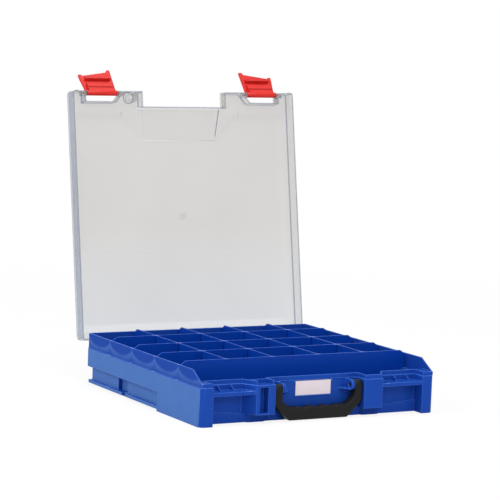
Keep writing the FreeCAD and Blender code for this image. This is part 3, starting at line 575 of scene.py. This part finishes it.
class CaseLooks(bpy.types.PropertyGroup):
    """Colours and fine sizes of the finishes."""

    shell_colour: FloatVectorProperty(
        name="Shell", description="Blue of the tray", subtype="COLOR",
        default=(0.009, 0.060, 0.37), min=0.0, max=1.0)
    pale_sheen_colour: FloatVectorProperty(
        name="Pale sheen", description="Paler blue of the grained skirt", subtype="COLOR",
        default=(0.068, 0.170, 0.42), min=0.0, max=1.0)
    edge_highlight_colour: FloatVectorProperty(
        name="Edge highlights", description="Paler blue of rounded edges", subtype="COLOR",
        default=(0.03, 0.14, 0.60), min=0.0, max=1.0)
    crossing_highlight_colour: FloatVectorProperty(
        name="Crossings", description="Pale blue of the marks where strips cross", subtype="COLOR",
        default=(0.30, 0.45, 0.85), min=0.0, max=1.0)
    divider_colour: FloatVectorProperty(
        name="Dividers", description="Blue of the divider strips", subtype="COLOR",
        default=(0.002, 0.050, 0.39), min=0.0, max=1.0)
    lid_colour: FloatVectorProperty(
        name="Lid", description="Milky tone of the clear lid", subtype="COLOR",
        default=(0.385, 0.36, 0.335), min=0.0, max=1.0)
    lid_tray_light_colour: FloatVectorProperty(
        name="Lid by the tray", description="Cooler tone of the lid near the blue tray",
        subtype="COLOR", default=(0.51, 0.54, 0.575), min=0.0, max=1.0)
    lid_edge_colour: FloatVectorProperty(
        name="Lid walls", description="Blue-grey tone of the lid's walls and edges",
        subtype="COLOR", default=(0.20, 0.25, 0.35), min=0.0, max=1.0)
    lid_haze: FloatProperty(
        name="Lid haze", description="How much one skin of the lid hides", subtype="FACTOR",
        default=0.27, min=0.0, max=1.0)
    mark_haze: FloatProperty(
        name="Mark haze", description="How much one skin of the lid's marks hides",
        subtype="FACTOR", default=0.02, min=0.0, max=1.0)
    latch_colour: FloatVectorProperty(
        name="Latches", description="Red of the snap latches", subtype="COLOR",
        default=(0.69, 0.017, 0.012), min=0.0, max=1.0)
    handle_colour: FloatVectorProperty(
        name="Handle", description="Black of the handle", subtype="COLOR",
        default=(0.006, 0.006, 0.0065), min=0.0, max=1.0)
    label_colour: FloatVectorProperty(
        name="Label", description="Pale tone of the label card", subtype="COLOR",
        default=(0.75, 0.66, 0.71), min=0.0, max=1.0)
    grain_scale: FloatProperty(
        name="Grain", description="Spots of mould grain in one metre", default=1100.0, min=1.0)
    shell_edge: FloatProperty(
        name="Shell edge", description="Rounding of the tray's edges", unit="LENGTH",
        default=0.0005, min=0.0)
    divider_edge: FloatProperty(
        name="Divider edge", description="Rounding of the strips' edges", unit="LENGTH",
        default=0.0003, min=0.0)
    lid_edge: FloatProperty(
        name="Lid edge", description="Rounding of the lid's edges", unit="LENGTH",
        default=0.0007, min=0.0)
    gate_size: FloatProperty(
        name="Gate mark", description="Width of the round mark on the lid's panel", unit="LENGTH",
        default=0.011, min=0.0)
    ramp_edge_size: FloatProperty(
        name="Ramp edge", description="Width of the fine edges beside the handle ramp",
        unit="LENGTH", default=0.0009, min=0.0)
    mark_height: FloatProperty(
        name="Mark height", description="How far the lid's marks stand out", unit="LENGTH",
        default=0.0006, min=0.0)
    latch_edge: FloatProperty(
        name="Latch edge", description="Rounding of the latches' edges", unit="LENGTH",
        default=0.0005, min=0.0)
    handle_edge: FloatProperty(
        name="Handle edge", description="Rounding of the handle's edges", unit="LENGTH",
        default=0.0014, min=0.0)


class CaseStage(bpy.types.PropertyGroup):
    """Camera, lamps and floor."""

    camera_place: FloatVectorProperty(
        name="Camera", description="Place of the camera", subtype="TRANSLATION", unit="LENGTH",
        default=(-1.4469, -2.5599, 0.5274))
    camera_look: FloatVectorProperty(
        name="Look", description="Direction of the view", subtype="DIRECTION",
        default=(0.4846, 0.8675, -0.1125))
    camera_up: FloatVectorProperty(
        name="Up", description="Direction that is upright in the view", subtype="DIRECTION",
        default=(0.0214, 0.1168, 0.9929))
    camera_lens: FloatProperty(
        name="Lens", description="Focal length in millimetres", default=163.4, min=1.0)
    floor_colour: FloatVectorProperty(
        name="Floor", description="Tone of the floor", subtype="COLOR",
        default=(0.92, 0.92, 0.92), min=0.0, max=1.0)
    sky: FloatProperty(
        name="Sky", description="Soft light from all around", default=0.55, min=0.0)
    key: FloatProperty(
        name="Key", description="Power of the soft lamp on the left", unit="POWER",
        default=30.0, min=0.0)
    fill: FloatProperty(
        name="Fill", description="Power of the soft lamp in front", unit="POWER",
        default=24.0, min=0.0)
    top: FloatProperty(
        name="Top", description="Power of the soft lamp overhead", unit="POWER",
        default=20.0, min=0.0)


class CASE_OT_tray(bpy.types.Operator):
    """Dresses the blue tray"""

    bl_idname = "storage_case.tray"
    bl_label = "Tray"

    def execute(self, context):
        looks = context.scene.case_looks
        rim = pale_edge(looks, "blue_shell_edge", looks.shell_colour, 0.4)
        dress("case_base", shell_plastic(looks), looks.shell_edge, rim)
        return {"FINISHED"}


class CASE_OT_dividers(bpy.types.Operator):
    """Dresses the divider strips"""

    bl_idname = "storage_case.dividers"
    bl_label = "Dividers"

    def execute(self, context):
        looks = context.scene.case_looks
        strip = strip_plastic(looks)
        rim = pale_edge(looks, "blue_strip_edge", looks.divider_colour, 0.05)
        for node in DIVIDERS:
            dress(node, strip, looks.divider_edge, rim)
        return {"FINISHED"}


class CASE_OT_lid(bpy.types.Operator):
    """Dresses the clear lid"""

    bl_idname = "storage_case.lid"
    bl_label = "Lid"

    def execute(self, context):
        looks = context.scene.case_looks
        clear = clear_plastic(looks, "clear_lid_plastic", looks.lid_haze)
        rim = clear_edge(looks, "clear_lid_edge", 1.0)
        dress("lid", clear, looks.lid_edge, rim, crease=LID_CREASE)
        return {"FINISHED"}


class CASE_OT_lid_marks(bpy.types.Operator):
    """Adds the gate mark and the two fine edges beside the handle ramp to the lid"""

    bl_idname = "storage_case.lid_marks"
    bl_label = "Lid marks"

    def execute(self, context):
        looks = context.scene.case_looks
        stage = context.scene.case_stage
        clear = clear_plastic(looks, "clear_mark_plastic", looks.mark_haze)
        spot, normal = on_lid(stage, GATE_SPOT)
        self.gate(looks, spot, normal, clear)
        line = clear_edge(looks, "clear_ramp_edge", 0.0)
        top, normal = on_lid(stage, RAMP_SPOTS[0])
        foot = on_lid(stage, RAMP_SPOTS[1])[0]
        self.ramp_edge(looks, "lid_ramp_edge_right", top, foot, normal, line)
        top, foot, normal = (Vector((-item.x, item.y, item.z)) for item in (top, foot, normal))
        self.ramp_edge(looks, "lid_ramp_edge_left", top, foot, normal, clear)
        return {"FINISHED"}

    def gate(self, looks, spot, normal, material):
        """The low round mark that the runner leaves, with a shallow dish in it."""
        form = bmesh.new()
        radius = looks.gate_size / 2
        height = looks.mark_height
        bmesh.ops.create_cone(form, cap_ends=True, segments=GATE_CORNERS, radius1=radius,
                              radius2=GATE_TAPER * radius, depth=height)
        top = [face for face in form.faces if face.normal.z > 0.9]
        bmesh.ops.inset_region(form, faces=top, thickness=GATE_RIM * radius)
        top = [face for face in top if face.is_valid]
        corners = {corner for face in top for corner in face.verts}
        bmesh.ops.translate(form, verts=list(corners), vec=(0.0, 0.0, -GATE_DISH * height))
        turn = normal.to_track_quat("Z", "Y").to_matrix().to_4x4()
        lift = Matrix.Translation(spot + normal * (GATE_LIFT * height))
        bmesh.ops.transform(form, matrix=lift @ turn, verts=form.verts)
        keep(form, "lid_gate_mark", material)

    def ramp_edge(self, looks, name, top, foot, normal, material):
        """A fine raised edge that lies on the ramp."""
        form = bmesh.new()
        along = foot - top
        tall = looks.mark_height
        bmesh.ops.create_cube(form, size=1.0)
        bmesh.ops.scale(form, verts=form.verts, vec=(looks.ramp_edge_size, along.length, tall))
        bmesh.ops.bevel(form, geom=form.edges[:], offset=RAMP_ROUND * tall, affect="EDGES",
                        segments=EDGE_STEPS, profile=0.5, material=-1)
        line = along.normalized()
        across = line.cross(normal).normalized()
        turn = Matrix((across, line, across.cross(line))).transposed().to_4x4()
        lift = Matrix.Translation((top + foot) / 2 + normal * (RAMP_LIFT * tall))
        bmesh.ops.transform(form, matrix=lift @ turn, verts=form.verts)
        keep(form, name, material)


class CASE_OT_latches(bpy.types.Operator):
    """Dresses the two red latches"""

    bl_idname = "storage_case.latches"
    bl_label = "Latches"

    def execute(self, context):
        looks = context.scene.case_looks
        red = red_plastic(looks)
        deep = red_edge(looks)
        for node in LATCHES:
            dress(node, red, looks.latch_edge, deep)
        return {"FINISHED"}


class CASE_OT_handle(bpy.types.Operator):
    """Dresses the carry handle"""

    bl_idname = "storage_case.handle"
    bl_label = "Handle"

    def execute(self, context):
        looks = context.scene.case_looks
        dress("carry_handle", black_plastic(looks), looks.handle_edge, merge=True)
        return {"FINISHED"}


class CASE_OT_label(bpy.types.Operator):
    """Dresses the label card"""

    bl_idname = "storage_case.label"
    bl_label = "Label"

    def execute(self, context):
        dress("label_card", card(context.scene.case_looks))
        return {"FINISHED"}


class CASE_OT_pins(bpy.types.Operator):
    """Dresses the two hinge pins"""

    bl_idname = "storage_case.pins"
    bl_label = "Hinge pins"

    def execute(self, context):
        wire = steel()
        for node in PINS:
            dress(node, wire)
        return {"FINISHED"}


class CASE_OT_stage(bpy.types.Operator):
    """Sets the floor, the soft light and the camera"""

    bl_idname = "storage_case.stage"
    bl_label = "Stage"

    def execute(self, context):
        stage = context.scene.case_stage
        self.floor(stage)
        self.sky(context.scene, stage)
        self.lamp("key_lamp", KEY_PLACE, stage.key)
        self.lamp("fill_lamp", FILL_PLACE, stage.fill)
        self.lamp("top_lamp", TOP_PLACE, stage.top)
        self.camera(context.scene, stage)
        context.scene.view_settings.view_transform = "Standard"
        return {"FINISHED"}

    def seen(self, finish):
        """One where the camera, a mirror or a clear piece looks straight at the surface."""
        path = finish.node("ShaderNodeLightPath")
        camera = Value(finish, path.outputs["Is Camera Ray"])
        glossy = Value(finish, path.outputs["Is Glossy Ray"])
        through = Value(finish, path.outputs["Is Transmission Ray"])
        return camera.most(glossy).most(through)

    def floor(self, stage):
        form = bmesh.new()
        bmesh.ops.create_grid(form, x_segments=1, y_segments=1, size=FLOOR_HALF)
        bmesh.ops.translate(form, verts=form.verts, vec=(0.0, 0.0, CAD_BOX[0][2] - FLOOR_DROP))
        finish = Finish("pale_floor")
        across, deep, _ = finish.along(finish.place())
        away = (across * across + deep * deep) ** 0.5
        share = finish.ramp(away / FLOOR_REACH, ((0.25, FLOOR_GLOW), (1.0, 1.0)))
        matt = finish.node("ShaderNodeBsdfDiffuse", None, {"Color": colour(stage.floor_colour)})
        glow = finish.node("ShaderNodeEmission", None, {"Color": WHITE, "Strength": 1.0})
        both = finish.node("ShaderNodeMixShader", None, {
            0: share * self.seen(finish), 1: matt.outputs[0], 2: glow.outputs[0],
        })
        finish.tree.links.new(both.outputs[0], finish.output.inputs[0])
        floor = add(form, "floor", finish.material)

    def sky(self, scene, stage):
        world = bpy.data.worlds.new("studio")
        world.use_nodes = True
        scene.world = world
        finish = Finish("studio_sky", world.node_tree)
        level = stage.sky + (1.0 - stage.sky) * self.seen(finish)
        ground = finish.node("ShaderNodeBackground", None, {
            "Color": WHITE, "Strength": level,
        })
        finish.tree.links.new(ground.outputs[0], finish.output.inputs[0])

    def lamp(self, name, place, power):
        light = bpy.data.lights.new(name, "AREA")
        light.shape = "DISK"
        light.size = LAMP_WIDE
        light.energy = power
        lamp = bpy.data.objects.new(name, light)
        bpy.context.scene.collection.objects.link(lamp)
        aim = Vector(LAMP_AIM) - Vector(place)
        turn = aim.to_track_quat("-Z", "Y").to_matrix().to_4x4()
        lamp.matrix_world = Matrix.Translation(place) @ turn

    def camera(self, scene, stage):
        data = bpy.data.cameras.new("camera")
        data.lens = stage.camera_lens
        data.sensor_width = SENSOR
        data.dof.use_dof = False
        camera = bpy.data.objects.new("camera", data)
        scene.collection.objects.link(camera)
        turn = Matrix(view_axes(stage)).transposed().to_4x4()
        camera.matrix_world = Matrix.Translation(stage.camera_place) @ turn
        scene.camera = camera


STEPS = (CASE_OT_tray, CASE_OT_dividers, CASE_OT_lid, CASE_OT_lid_marks, CASE_OT_latches,
         CASE_OT_handle, CASE_OT_label, CASE_OT_pins, CASE_OT_stage)


class CASE_PT_panel(bpy.types.Panel):
    """Lists the steps that dress the case"""

    bl_idname = "CASE_PT_panel"
    bl_label = "Storage case"
    bl_space_type = "VIEW_3D"
    bl_region_type = "UI"
    bl_category = "Storage case"

    def draw(self, context):
        for group in (context.scene.case_looks, context.scene.case_stage):
            for name in group.__annotations__:
                self.layout.prop(group, name)
        for step in STEPS:
            self.layout.operator(step.bl_idname)


CLASSES = (CaseLooks, CaseStage) + STEPS + (CASE_PT_panel,)


def register():
    for item in CLASSES:
        bpy.utils.register_class(item)
    bpy.types.Scene.case_looks = PointerProperty(type=CaseLooks)
    bpy.types.Scene.case_stage = PointerProperty(type=CaseStage)


def unregister():
    del bpy.types.Scene.case_stage
    del bpy.types.Scene.case_looks
    for item in reversed(CLASSES):
        bpy.utils.unregister_class(item)


def main():
    register()
    bpy.ops.storage_case.tray()
    bpy.ops.storage_case.dividers()
    bpy.ops.storage_case.lid()
    bpy.ops.storage_case.lid_marks()
    bpy.ops.storage_case.latches()
    bpy.ops.storage_case.handle()
    bpy.ops.storage_case.label()
    bpy.ops.storage_case.pins()
    bpy.ops.storage_case.stage()


if __name__ == "__main__":
    main()
